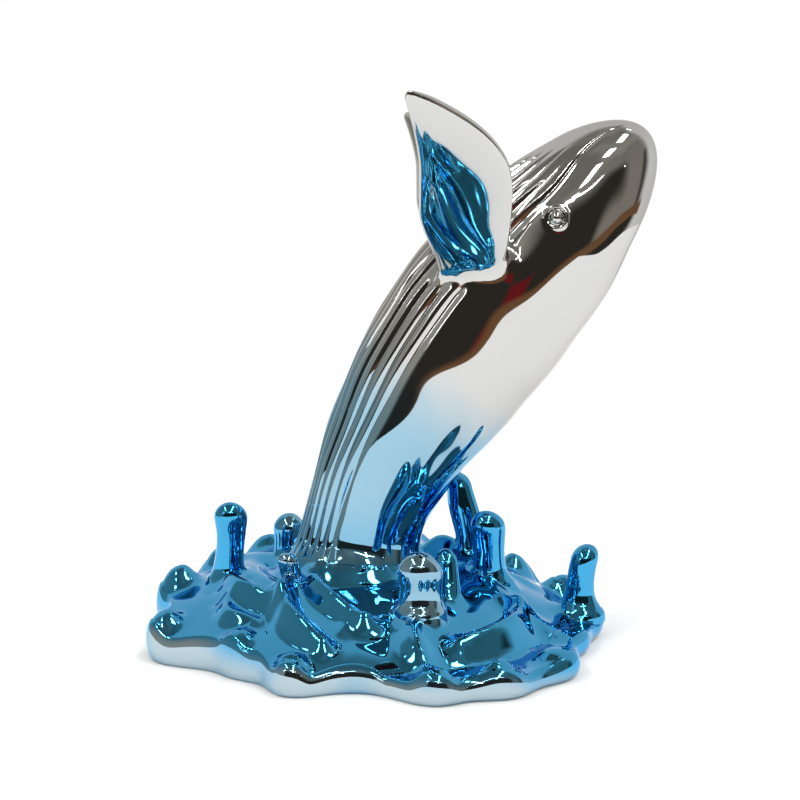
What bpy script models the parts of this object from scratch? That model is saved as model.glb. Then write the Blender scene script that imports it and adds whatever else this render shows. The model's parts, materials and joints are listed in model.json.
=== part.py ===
"""A humpback whale leaping out of a splash of water, one resin casting. Metres, +Z up, resting on z = 0.

The body is a lofted tube with pleats on its belly, each flipper is a lofted blade, and the water is a lobed
disc with fingers of spray standing on it. A Boolean union melts them all into one solid.
"""

from __future__ import annotations

from dataclasses import dataclass

import bmesh
import bpy
import numpy as np
from mathutils import Vector

NODE_NAME = "breaching_whale_on_waves"
MM = 0.001

# Body: its middle line leans over as it climbs, in the plane y = BODY_Y
BODY_Y = 22 * MM
FOOT_X = -12 * MM
FOOT_Z = 12 * MM
DEPTH_IN_WATER = 24 * MM
BODY_LENGTH = 285 * MM
LEAN_AT_WATER = 5.0
LEAN_GAIN = 37.2
LEAN_REACH = 75 * MM
HEAD_NOD = 4.0
WAIST_HALF_DEPTH = 31.5 * MM
CHEST_HALF_DEPTH = 47.4 * MM
WAIST_AT = 10 * MM
CHEST_AT = 152 * MM
WIDTH_SHARE = 0.86
SNOUT_BLUNTNESS = 1.9
SNOUT_GAP = 0.4 * MM
WATER_FLARE = 5 * MM
FLARE_REACH = 8 * MM
BODY_RINGS = 32
RING_CROWDING = 1.35
LINE_STEPS = 800

# Pleats run the length of the belly, side by side round it up to the pleat edge, the mouth line on the head
PLEATS_PER_SIDE = 6
PLEAT_CORNERS = (0.0, 0.3, 0.7)
PLEAT_EDGE = 63.0
JAW_EDGE = 40.0
JAW_FROM = 225 * MM
PLEAT_DEPTH = 2.0 * MM
GROOVE_SHARE = 0.6
PLEAT_FADE_FROM = 222 * MM
PLEAT_END = 262 * MM
BACK_STEPS = 18

# Eyes
EYE_AT = 220 * MM
EYE_ANGLE = 80.0
EYE_RADIUS = 3.4 * MM
LID_RADIUS = 5.6 * MM
LID_THICK = 1.5 * MM
EYE_AROUND = 14
EYE_RINGS = 6
EYE_POLE = 0.92

# Flippers: flat blades on the flanks, leaning outward by these angles, their edges measured from the shoulder
NEAR_FLARE = 42.0
FAR_FLARE = 54.0
SHOULDER_AT = 190 * MM
BLADE_RISE = 11.8 * MM
BLADE_PROUD = 4 * MM
BLADE_LOW = -31 * MM
BLADE_HIGH = 109 * MM
BLADE_WIDEST = 34 * MM
FRONT_EDGE = 10 * MM
TIP_FRONT = 58 * MM
BACK_EDGE = 56.5 * MM
TIP_BACK = 64.5 * MM
HEEL_BACK = 46 * MM
BLADE_HALF_THICK = 3.2 * MM
FRONT_CURVE = 2.7
FRONT_DROP = 4 * MM
HEEL_ROUNDING = 27 * MM
HEEL_SQUARENESS = 9
HEEL_FROM = -19 * MM
HEEL_TO = 31 * MM
TIP_SWEEP_FROM = 58 * MM
TIP_SWEEP_CURVE = 1.5
ROOT_SWELL = 1.2
ROOT_AT = -5 * MM
ROOT_REACH = 31 * MM
BLADE_TWIST = 9.0
BLADE_RINGS = 14
BLADE_AROUND = 16

# Water: places in the plan are in percent of the rim radius
RIM_RADIUS = 93 * MM
RIM_HEIGHT = 11 * MM
MOUND_HEIGHT = 45 * MM
MOUND_REACH = 118 * MM
MOUND_CURVE = 0.75
MOUND_OVERSHOOT = 1.25
BOWL_RADIUS = 43 * MM
BOWL_DEPTH = 7 * MM
BOWL_WIDTH = 7 * MM
CREST_MOAT = 1.5 * MM
CREST_MOAT_REACH = 2.2
CREST_TAPER = 0.45
DRIP_SQUARENESS = 2.8
WATER_AROUND = 96
WATER_RINGS = 15
WATER_INNER = 0.12
WATER_CROWDING = 1.15
LIP = ((0.965, 1.0), (0.992, 0.8), (1.0, 0.5), (0.995, 0.2), (0.975, 0.0))

# Spray
SPRAY_FOOT = 10 * MM
SPRAY_AROUND = 10
SPRAY_STEM_RINGS = 5
SPRAY_DOME = (0.0, 28.0, 54.0, 76.0)
SPRAY_LEAN = 1.6
BULB_REACH = 7 * MM
FLARE_FROM = 0.05
FLARE_TO = 0.5


@dataclass(frozen=True)
class Lobe:
    """An outward swelling of the water's rim and the drip on it: angle and width in degrees, the rest in mm."""

    angle: float
    reach: float
    width: float
    drip: float
    inset: float
    drip_radius: float


@dataclass(frozen=True)
class Crest:
    """A ridge of water between two places of the plan, with its height, width and sideways bend in mm."""

    start: tuple[float, float]
    end: tuple[float, float]
    height: float
    width: float
    bend: float


@dataclass(frozen=True)
class Spray:
    """A finger of spray between two places of the plan, with its height and radii in mm."""

    foot: tuple[float, float]
    top: tuple[float, float]
    height: float
    radius: float
    neck: float
    flare: float


LOBES = (
    Lobe(-163, 29, 14, 9.5, 8, 9.5),
    Lobe(-136, 6, 9, 5, 6, 8),
    Lobe(-113, 15, 10, 8, 7, 8.5),
    Lobe(-74, 24, 10, 8, 8, 9),
    Lobe(-56, 27, 11, 5.5, 10, 9.5),
    Lobe(-34, 31, 15, 4, 12, 11),
    Lobe(-12, 15, 9, 2, 12, 12),
    Lobe(6, 31, 13, 3, 12, 12),
    Lobe(27, 34, 11, 12, 12, 10),
    Lobe(43, 20, 10, 11, 8, 9),
    Lobe(60, 16, 12, 5, 12, 11),
    Lobe(80, 15, 14, 6, 10, 11),
    Lobe(104, 19, 13, 11, 11, 10),
    Lobe(128, 14, 11, 9, 8, 10),
    Lobe(148, 16, 11, 9, 10, 9),
    Lobe(168, 27, 12, 12, 12, 10),
)

CRESTS = (
    Crest((-82, 0), (-52, -47), 12, 6.5, -7),
    Crest((-82, -32), (-65, -56), 7, 5.5, -5),
    Crest((-47, -24), (-26, -86), 13, 5.5, -10),
    Crest((-37, -11), (-4, -67), 10, 5, -7),
    Crest((-13, -69), (9, -62), 5, 6, -4),
    Crest((26, -52), (32, -103), 8, 7.5, -5),
    Crest((48, -77), (84, -22), 12, 6.5, -10),
    Crest((43, -112), (75, -90), 5, 6, -5),
    Crest((65, 11), (103, -32), 6, 8, -7),
    Crest((24, 47), (60, 32), 13, 9, 4),
    Crest((69, 28), (95, 43), 4, 10, 5),
    Crest((-65, 43), (-95, 56), 3, 9, -5),
    Crest((22, 75), (37, 105), 9, 8, 6),
    Crest((-32, 77), (-49, 103), 9, 8, -6),
)

SPRAYS = (
    Spray((-83, 11), (-81, 0), 76, 8.6, 7.8, 8),
    Spray((-51, 47), (-49.5, 48), 60, 8.4, 7.6, 9),
    Spray((-44, -15), (-48, -19), 53, 5.2, 4.8, 7),
    Spray((27, -51), (26, -58), 62.5, 11.3, 10.4, 7),
    Spray((42, -30), (42, -18), 55, 5.4, 5.6, 7),
    Spray((62, 34), (48.5, 43), 84, 7.2, 8.0, 10),
    Spray((69, 20), (65, 11), 69, 9.4, 8.8, 10),
    Spray((119, 9), (123, 9), 51, 7.8, 7.6, 3),
    Spray((6, 95), (11, 97), 58, 7.6, 7.0, 8),
)


def smoothstep(low: float, high: float, value: np.ndarray) -> np.ndarray:
    """Rise smoothly from 0 at low to 1 at high."""
    share = np.clip((value - low) / (high - low), 0.0, 1.0)
    return share * share * (3.0 - 2.0 * share)


def full_turn(steps: int) -> np.ndarray:
    """Evenly spaced angles round a circle."""
    return np.arange(steps) * 2.0 * np.pi / steps


def plan_place(place: tuple[float, float]) -> np.ndarray:
    """A place in the plan, from percent of the rim radius to metres."""
    return np.array(place) * RIM_RADIUS / 100.0


def mesh_object(name: str, points: np.ndarray, capped: bool) -> bpy.types.Object:
    """Join rings of points (rings, around, 3) into a closed shape, with a fan at each end or end to end."""
    rings, around, _ = points.shape
    mesh = bmesh.new()
    verts = [[mesh.verts.new(point) for point in ring] for ring in points.tolist()]
    for row in range(rings - 1 if capped else rings):
        low, high = verts[row], verts[(row + 1) % rings]
        for i in range(around):
            j = (i + 1) % around
            mesh.faces.new((low[i], low[j], high[j], high[i]))
    for ring in (verts[0], verts[-1]) if capped else ():
        middle = mesh.verts.new(sum((vert.co for vert in ring), Vector()) / around)
        for i in range(around):
            mesh.faces.new((ring[i], ring[(i + 1) % around], middle))
    bmesh.ops.recalc_face_normals(mesh, faces=mesh.faces)
    data = bpy.data.meshes.new(name)
    mesh.to_mesh(data)
    mesh.free()
    return bpy.data.objects.new(name, data)


def body_line(along: np.ndarray) -> tuple[np.ndarray, np.ndarray]:
    """Points of the middle line and its lean, which grows as 1 - exp(-s / reach) with a nod at the head."""
    steps = np.linspace(-DEPTH_IN_WATER, BODY_LENGTH, LINE_STEPS)
    above = np.maximum(steps, 0.0)
    lean = LEAN_AT_WATER + LEAN_GAIN * (1.0 - np.exp(-above / LEAN_REACH))
    lean = np.radians(lean + HEAD_NOD * (above / BODY_LENGTH) ** 6)
    stride = steps[1] - steps[0]
    x = FOOT_X + np.concatenate([[0.0], np.cumsum(np.sin(lean[:-1]) * stride)])
    z = FOOT_Z + np.concatenate([[0.0], np.cumsum(np.cos(lean[:-1]) * stride)])
    places = [np.interp(along, steps, x), np.full_like(along, BODY_Y), np.interp(along, steps, z)]
    return np.stack(places, -1), np.interp(along, steps, lean)


def half_depth(along: np.ndarray) -> np.ndarray:
    """Half the body's depth from back to belly: a waist flared into the water, a chest and a blunt snout."""
    swell = WAIST_HALF_DEPTH + (CHEST_HALF_DEPTH - WAIST_HALF_DEPTH) * smoothstep(WAIST_AT, CHEST_AT, along)
    swell = swell + WATER_FLARE * np.exp(-np.maximum(along, 0.0) / FLARE_REACH)
    from_tip = np.clip((BODY_LENGTH - along) / (BODY_LENGTH - CHEST_AT), 0.0, 1.0)
    head = CHEST_HALF_DEPTH * np.sqrt(1.0 - (1.0 - from_tip) ** SNOUT_BLUNTNESS)
    return np.where(along > CHEST_AT, head, swell)


def groove_depth(along: np.ndarray, share: np.ndarray) -> np.ndarray:
    """How deep the pleats' grooves cut: V-shaped across, fading out on the jaw but not at the mouth line."""
    across = np.abs((share * PLEATS_PER_SIDE + 0.5) % 1.0 - 0.5) * 2.0
    cut = np.where(share <= 1.0, np.clip(1.0 - across / GROOVE_SHARE, 0.0, 1.0), 0.0)
    jaw_fade = 1.0 - smoothstep(PLEAT_FADE_FROM, PLEAT_END, along)
    mouth_fade = 1.0 - smoothstep(PLEAT_END, BODY_LENGTH, along)
    fade = np.where(np.abs(share) > 0.99, mouth_fade, jaw_fade)
    return PLEAT_DEPTH * cut * fade * half_depth(along) / CHEST_HALF_DEPTH


def make_body() -> bpy.types.Object:
    """The body from under the water to the snout: ellipses across the middle line, cut by the grooves."""
    stage = 1.0 - (1.0 - np.linspace(0.0, 1.0, BODY_RINGS)) ** RING_CROWDING
    rings = -DEPTH_IN_WATER + (BODY_LENGTH + DEPTH_IN_WATER - SNOUT_GAP) * stage
    belly = np.arange(-PLEATS_PER_SIDE, PLEATS_PER_SIDE)[:, None] + np.array(PLEAT_CORNERS)
    back = 1.0 + np.arange(BACK_STEPS) / BACK_STEPS
    along, share = np.meshgrid(rings, np.append(belly.ravel() / PLEATS_PER_SIDE, back), indexing="ij")
    edge = PLEAT_EDGE + (JAW_EDGE - PLEAT_EDGE) * smoothstep(JAW_FROM, BODY_LENGTH, along)
    angle = np.where(share < 1.0, share * edge, edge + (share - 1.0) * (360.0 - 2.0 * edge))
    turn = np.radians(angle)
    centre, lean = body_line(along)
    depth = half_depth(along) - groove_depth(along, share)
    up = depth * np.cos(turn)
    out = WIDTH_SHARE * depth * np.sin(turn)
    offset = np.stack([-np.cos(lean) * up, -out, np.sin(lean) * up], -1)
    return mesh_object("body", centre + offset, capped=True)


def blade_edges(up: np.ndarray) -> tuple[np.ndarray, np.ndarray]:
    """How far the flipper's leading and trailing edges lie from the shoulder, at heights along it."""
    rise = np.clip((up - BLADE_WIDEST) / (BLADE_HIGH - BLADE_WIDEST), 0.0, 1.0)
    drop = np.clip((BLADE_WIDEST - up) / (BLADE_WIDEST - BLADE_LOW), 0.0, 1.0)
    front = FRONT_EDGE + (TIP_FRONT - FRONT_EDGE) * rise**FRONT_CURVE
    front = front + FRONT_DROP * drop**2 + HEEL_ROUNDING * drop**HEEL_SQUARENESS
    sweep = np.clip((up - TIP_SWEEP_FROM) / (BLADE_HIGH - TIP_SWEEP_FROM), 0.0, 1.0) ** TIP_SWEEP_CURVE
    heel = 1.0 - smoothstep(HEEL_FROM, HEEL_TO, up)
    back = BACK_EDGE + (HEEL_BACK - BACK_EDGE) * heel + (TIP_BACK - BACK_EDGE) * sweep
    return front, back


def make_flipper(name: str, flare: float, side: float) -> bpy.types.Object:
    """A flipper: flat rounded sections stacked up a blade that leans outward and twists, thicker at the root.

    The near flipper has side -1 and the far one has side 1.
    """
    stage = np.linspace(0.0, 1.0, BLADE_RINGS)
    up = (BLADE_LOW + (BLADE_HIGH - BLADE_LOW) * (0.5 - 0.5 * np.cos(np.pi * (0.04 + 0.92 * stage))))[:, None]
    front, back = blade_edges(up)
    turn = full_turn(BLADE_AROUND)
    across = np.sign(np.cos(turn)) * np.abs(np.cos(turn)) ** 0.8
    through = np.sign(np.sin(turn)) * np.abs(np.sin(turn)) ** 0.6
    rounding = np.sqrt(np.clip(1.0 - np.abs(2.0 * stage - 1.0) ** 8, 0.1, 1.0))[:, None]
    swell = 1.0 + ROOT_SWELL * np.exp(-(((up - ROOT_AT) / ROOT_REACH) ** 2)) * (0.5 + 0.5 * across)
    thick = BLADE_HALF_THICK * rounding * swell * through
    shoulder = body_line(np.array([SHOULDER_AT]))[0][0]
    flank = WIDTH_SHARE * half_depth(np.array([SHOULDER_AT]))[0]
    lean = np.radians(flare)
    twist = np.tan(np.radians(BLADE_TWIST)) * (up - BLADE_LOW) / (BLADE_HIGH - BLADE_LOW)
    aside = (back - front) / 2.0 * across
    x = shoulder[0] - (front + back) / 2.0 + aside
    outward = flank + BLADE_PROUD + up * np.sin(lean) + thick * np.cos(lean) - twist * aside
    z = shoulder[2] + BLADE_RISE + up * np.cos(lean) - thick * np.sin(lean)
    return mesh_object(name, np.stack([x, BODY_Y + side * outward, z], -1), capped=True)


def make_eye(label: str, side: float) -> list[bpy.types.Object]:
    """An eyeball and the ring of its lid, set on the near flank (side -1) or the far one (side 1)."""
    centre, lean = body_line(np.array([EYE_AT]))
    angle = np.radians(EYE_ANGLE)
    belly_way = np.cos(angle) * np.array([-np.cos(lean[0]), 0.0, np.sin(lean[0])])
    side_way = np.sin(angle) * np.array([0.0, side, 0.0])
    place = centre[0] + half_depth(np.array([EYE_AT]))[0] * (belly_way + WIDTH_SHARE * side_way)
    turn = np.array(Vector((belly_way + side_way).tolist()).to_track_quat("Z", "Y").to_matrix())
    spin = full_turn(EYE_AROUND)
    height = np.linspace(-EYE_POLE, EYE_POLE, EYE_RINGS)[:, None]
    reach = np.sqrt(1.0 - height**2)
    ball = EYE_RADIUS * np.stack([reach * np.cos(spin), reach * np.sin(spin), height + 0.0 * spin], -1)
    spin = spin[:, None]
    tube = full_turn(EYE_RINGS)
    out = LID_RADIUS + LID_THICK * np.cos(tube)
    ring = np.stack([out * np.cos(spin), out * np.sin(spin), LID_THICK * np.sin(tube) + 0.0 * spin], -1)
    return [
        mesh_object(f"{label}_eye", ball @ turn.T + place, capped=True),
        mesh_object(f"{label}_lid", ring @ turn.T + place, capped=False),
    ]


def rim_outline(angle: np.ndarray) -> np.ndarray:
    """Radius of the water's edge: a circle with a rounded swelling at each lobe."""
    radius = np.full_like(angle, RIM_RADIUS)
    for lobe in LOBES:
        away = (np.degrees(angle) - lobe.angle + 180.0) % 360.0 - 180.0
        radius = radius + lobe.reach * MM * np.exp(-((away / lobe.width) ** 2))
    return radius


def crest_distance(x: np.ndarray, y: np.ndarray, crest: Crest) -> tuple[np.ndarray, np.ndarray]:
    """Distance in the plan from points to a crest's bent line, in crest widths, and their share of the way along."""
    start = plan_place(crest.start)
    run = plan_place(crest.end) - start
    length = np.hypot(*run)
    along = ((x - start[0]) * run[0] + (y - start[1]) * run[1]) / length
    share = np.clip(along / length, 0.0, 1.0)
    aside = (run[0] * (y - start[1]) - run[1] * (x - start[0])) / length
    aside = aside - crest.bend * MM * 4.0 * share * (1.0 - share)
    return np.hypot(aside, along - share * length) / (crest.width * MM), share


def water_top(x: np.ndarray, y: np.ndarray) -> np.ndarray:
    """Height of the water: a mound round the whale with a bowl at its foot, the crests, and the rim's drips."""
    away = np.hypot(x - FOOT_X, y - BODY_Y)
    fall = np.clip(1.0 - away / MOUND_REACH, 0.0, 1.0) ** MOUND_CURVE * MOUND_OVERSHOOT
    top = np.minimum(RIM_HEIGHT + (MOUND_HEIGHT - RIM_HEIGHT) * fall, MOUND_HEIGHT)
    top = top - BOWL_DEPTH * np.exp(-(((away - BOWL_RADIUS) / BOWL_WIDTH) ** 2))
    for crest in CRESTS:
        far, share = crest_distance(x, y, crest)
        height = crest.height * MM * (1.0 - CREST_TAPER * (2.0 * share - 1.0) ** 2)
        top = top + height * np.exp(-(far**2)) - CREST_MOAT * np.exp(-((far / CREST_MOAT_REACH) ** 2))
    for lobe in LOBES:
        angle = np.radians(lobe.angle)
        reach = rim_outline(np.array([angle]))[0] - lobe.inset * MM
        far = np.hypot(x - reach * np.cos(angle), y - reach * np.sin(angle)) / (lobe.drip_radius * MM)
        top = top + lobe.drip * MM * np.exp(-(far**DRIP_SQUARENESS))
    return top


def make_water() -> bpy.types.Object:
    """The water as rings from the whale's foot to the lobed rim, with a bulging lip and a flat underside."""
    spin = full_turn(WATER_AROUND)
    foot = np.array([FOOT_X, BODY_Y])
    to_edge = rim_outline(spin)[:, None] * np.stack([np.cos(spin), np.sin(spin)], -1) - foot
    shares = 1.0 - (1.0 - np.linspace(WATER_INNER, 1.0, WATER_RINGS)) ** WATER_CROWDING
    rings = []
    for share in shares[:-1]:
        plan = foot + to_edge * share
        rings.append(np.column_stack([plan, water_top(plan[:, 0], plan[:, 1])]))
    shoulder = foot + to_edge * LIP[0][0]
    shoulder_height = water_top(shoulder[:, 0], shoulder[:, 1])
    for share, height in LIP:
        rings.append(np.column_stack([foot + to_edge * share, shoulder_height * height]))
    return mesh_object("water", np.array(rings), capped=True)


def make_spray(name: str, spray: Spray) -> bpy.types.Object:
    """A finger of spray: round sections up a bent line, flared at its foot and domed at its top."""
    tall = spray.height * MM - SPRAY_FOOT
    dome = spray.radius * MM * (1.0 - np.sin(np.radians(SPRAY_DOME)))
    below = np.append(np.linspace(tall, spray.radius * MM * 1.5, SPRAY_STEM_RINGS), dome)
    rise = 1.0 - below / tall
    foot = plan_place(spray.foot)
    plan = foot + (plan_place(spray.top) - foot) * (rise**SPRAY_LEAN)[:, None]
    bulb = (spray.radius - spray.neck) * np.exp(-(((below - spray.radius * MM) / BULB_REACH) ** 2))
    cap = np.sqrt(1.0 - np.clip(1.0 - below / (spray.radius * MM), 0.0, 1.0) ** 2)
    flare = spray.flare * (1.0 - smoothstep(FLARE_FROM, FLARE_TO, rise)) ** 2
    radius = ((spray.neck + bulb) * cap + flare)[:, None] * MM
    spin = full_turn(SPRAY_AROUND)
    x = plan[:, :1] + radius * np.cos(spin)
    y = plan[:, 1:] + radius * np.sin(spin)
    z = (SPRAY_FOOT + tall * rise)[:, None] + 0.0 * spin
    return mesh_object(name, np.stack([x, y, z], -1), capped=True)


def plated_resin() -> bpy.types.Material:
    """Mirror-bright plating."""
    material = bpy.data.materials.new("plated_resin")
    material.use_nodes = True
    shader = material.node_tree.nodes["Principled BSDF"]
    shader.inputs["Base Color"].default_value = (0.75, 0.84, 0.92, 1.0)
    shader.inputs["Metallic"].default_value = 1.0
    shader.inputs["Roughness"].default_value = 0.08
    return material


def main() -> None:
    """Build the casting."""
    for old in list(bpy.data.objects):
        bpy.data.objects.remove(old, do_unlink=True)
    shapes = [
        make_body(),
        make_flipper("near_flipper", NEAR_FLARE, -1.0),
        make_flipper("far_flipper", FAR_FLARE, 1.0),
        *make_eye("near", -1.0),
        *make_eye("far", 1.0),
        *(make_spray(f"spray_{i}", spray) for i, spray in enumerate(SPRAYS)),
    ]
    cast_shapes = bpy.data.collections.new("cast_shapes")
    bpy.context.scene.collection.children.link(cast_shapes)
    for shape in shapes:
        shape.hide_render = True
        shape.display_type = "WIRE"
        cast_shapes.objects.link(shape)
    casting = make_water()
    casting.name = NODE_NAME
    casting.data.name = NODE_NAME
    casting.data.materials.append(plated_resin())
    bpy.context.scene.collection.objects.link(casting)
    union = casting.modifiers.new("melt", "BOOLEAN")
    union.operation = "UNION"
    union.solver = "EXACT"
    union.operand_type = "COLLECTION"
    union.collection = cast_shapes


main()
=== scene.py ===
"""The leaping whale as it looks: one mirror-plated casting with blue lacquer on its water.

Each form is a surface of two parameters worked out with numpy: the whale's body along its leaning middle
line, the flippers as stacked sections, the water as rings round the whale's foot, and the spray as fingers
along bent lines. A Boolean unites them, and their joints are filled the way poured resin fills them.
"""

from __future__ import annotations

import json
import logging
from collections.abc import Sequence
from dataclasses import dataclass, field
from enum import Enum

import bmesh
import bpy
import numpy as np
from mathutils import Euler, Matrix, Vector

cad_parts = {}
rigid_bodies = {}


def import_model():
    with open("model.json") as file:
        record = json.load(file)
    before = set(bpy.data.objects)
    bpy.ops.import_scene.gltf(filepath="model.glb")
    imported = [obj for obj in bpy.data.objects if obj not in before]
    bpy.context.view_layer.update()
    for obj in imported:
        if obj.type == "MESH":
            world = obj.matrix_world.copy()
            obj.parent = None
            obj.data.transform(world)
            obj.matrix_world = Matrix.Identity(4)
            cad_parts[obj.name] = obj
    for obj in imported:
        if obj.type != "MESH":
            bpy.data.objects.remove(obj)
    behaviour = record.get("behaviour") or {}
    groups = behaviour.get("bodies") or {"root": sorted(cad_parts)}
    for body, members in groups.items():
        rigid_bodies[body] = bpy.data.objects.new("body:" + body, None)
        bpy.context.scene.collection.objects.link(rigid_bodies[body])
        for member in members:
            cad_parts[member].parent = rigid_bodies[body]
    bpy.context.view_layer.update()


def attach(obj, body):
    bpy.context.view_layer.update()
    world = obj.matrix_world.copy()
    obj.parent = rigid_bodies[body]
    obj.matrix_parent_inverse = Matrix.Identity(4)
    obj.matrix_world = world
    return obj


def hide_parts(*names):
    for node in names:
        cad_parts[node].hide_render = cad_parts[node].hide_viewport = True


LOG = logging.getLogger("whale")
NODE = "breaching_whale_on_waves"
SLOT = "plated_resin"
MM = 0.001
FULL_TURN = 360.0
Array = np.ndarray
Colour = tuple[float, float, float]
Place = tuple[float, float, float]
# Where a smooth step leaves 0 and where it reaches 1, either way round
Rise = tuple[float, float]


class Side(Enum):
    """The flank that a piece is on, as the sign of its place across the body."""

    NEAR = -1.0
    FAR = 1.0


def smoothstep(low: float, high: float, value: Array) -> Array:
    """Rise smoothly from 0 at low to 1 at high.

    Args:
        low: Where the rise starts.
        high: Where it ends.
        value: Values to place on the rise.

    Returns:
        3t^2 - 2t^3 of each value's share t of the way from low to high.
    """
    share = np.clip((value - low) / (high - low), 0.0, 1.0)
    return share * share * (3.0 - 2.0 * share)


def read_values(items: bpy.types.bpy_prop_collection, name: str, width: int, kind: type) -> Array:
    """Read one property of all points, edges, corners or faces of a mesh.

    Args:
        items: The mesh's points, edges, corners or faces, or an attribute's values.
        name: The property.
        width: How many numbers it has on each item.
        kind: The kind of number.

    Returns:
        The numbers, one row for each item where there is more than one number.
    """
    values = np.empty(len(items) * width, kind)
    items.foreach_get(name, values)
    return values if width == 1 else values.reshape(-1, width)


@dataclass(frozen=True)
class Shell:
    """A closed surface as arrays, with how far its joints melt into what it meets."""

    points: Array
    quads: Array
    triangles: Array
    melt: float

    @classmethod
    def from_rings(cls, rings: Array, melt: float, capped: bool = True) -> Shell:
        """Join rings of points into a closed surface facing outward.

        Args:
            rings: Points, (rings, around, 3).
            melt: How far the joints with other shells melt, in metres.
            capped: Close each end with a fan, or else join the last ring to the first.

        Returns:
            The closed shell.
        """
        count, around, _ = rings.shape
        index = np.arange(count * around).reshape(count, around)
        points = rings.reshape(-1, 3)
        triangles = np.empty((0, 3), int)
        if capped:
            points = np.vstack([points, rings[0].mean(0), rings[-1].mean(0)])
            first, last = index[0], index[-1]
            ends = (
                (np.roll(first, -1), first, count * around),
                (last, np.roll(last, -1), count * around + 1),
            )
            triangles = np.vstack([np.stack([a, b, np.full(around, tip)], -1) for a, b, tip in ends])
        else:
            index = np.vstack([index, index[:1]])
        low, high = index[:-1], index[1:]
        quads = np.stack([low, np.roll(low, -1, 1), np.roll(high, -1, 1), high], -1).reshape(-1, 4)
        corners = np.vstack([quads[:, [0, 1, 2]], quads[:, [0, 2, 3]], triangles])
        a, b, c = (points[corners[:, i]] for i in range(3))
        # The sum is six times the volume, which is negative where the faces point inward
        if np.sum(a * np.cross(b, c)) < 0.0:
            quads, triangles = quads[:, ::-1], triangles[:, ::-1]
        return cls(points, quads, triangles, melt)

    def to_object(self, name: str, number: int) -> bpy.types.Object:
        """Put the shell into a mesh object, with its number and melt distance on its faces.

        Args:
            name: Name of the object.
            number: Number of the form, for telling the forms' faces apart.

        Returns:
            The object, not yet linked to the scene.
        """
        data = bpy.data.meshes.new(name)
        data.from_pydata(self.points.tolist(), [], self.quads.tolist() + self.triangles.tolist())
        layer = data.attributes.new("melt", "FLOAT", "FACE")
        layer.data.foreach_set("value", np.full(len(data.polygons), self.melt, np.float32))
        layer = data.attributes.new("form", "INT", "FACE")
        layer.data.foreach_set("value", np.full(len(data.polygons), number, np.int32))
        return bpy.data.objects.new(name, data)


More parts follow.
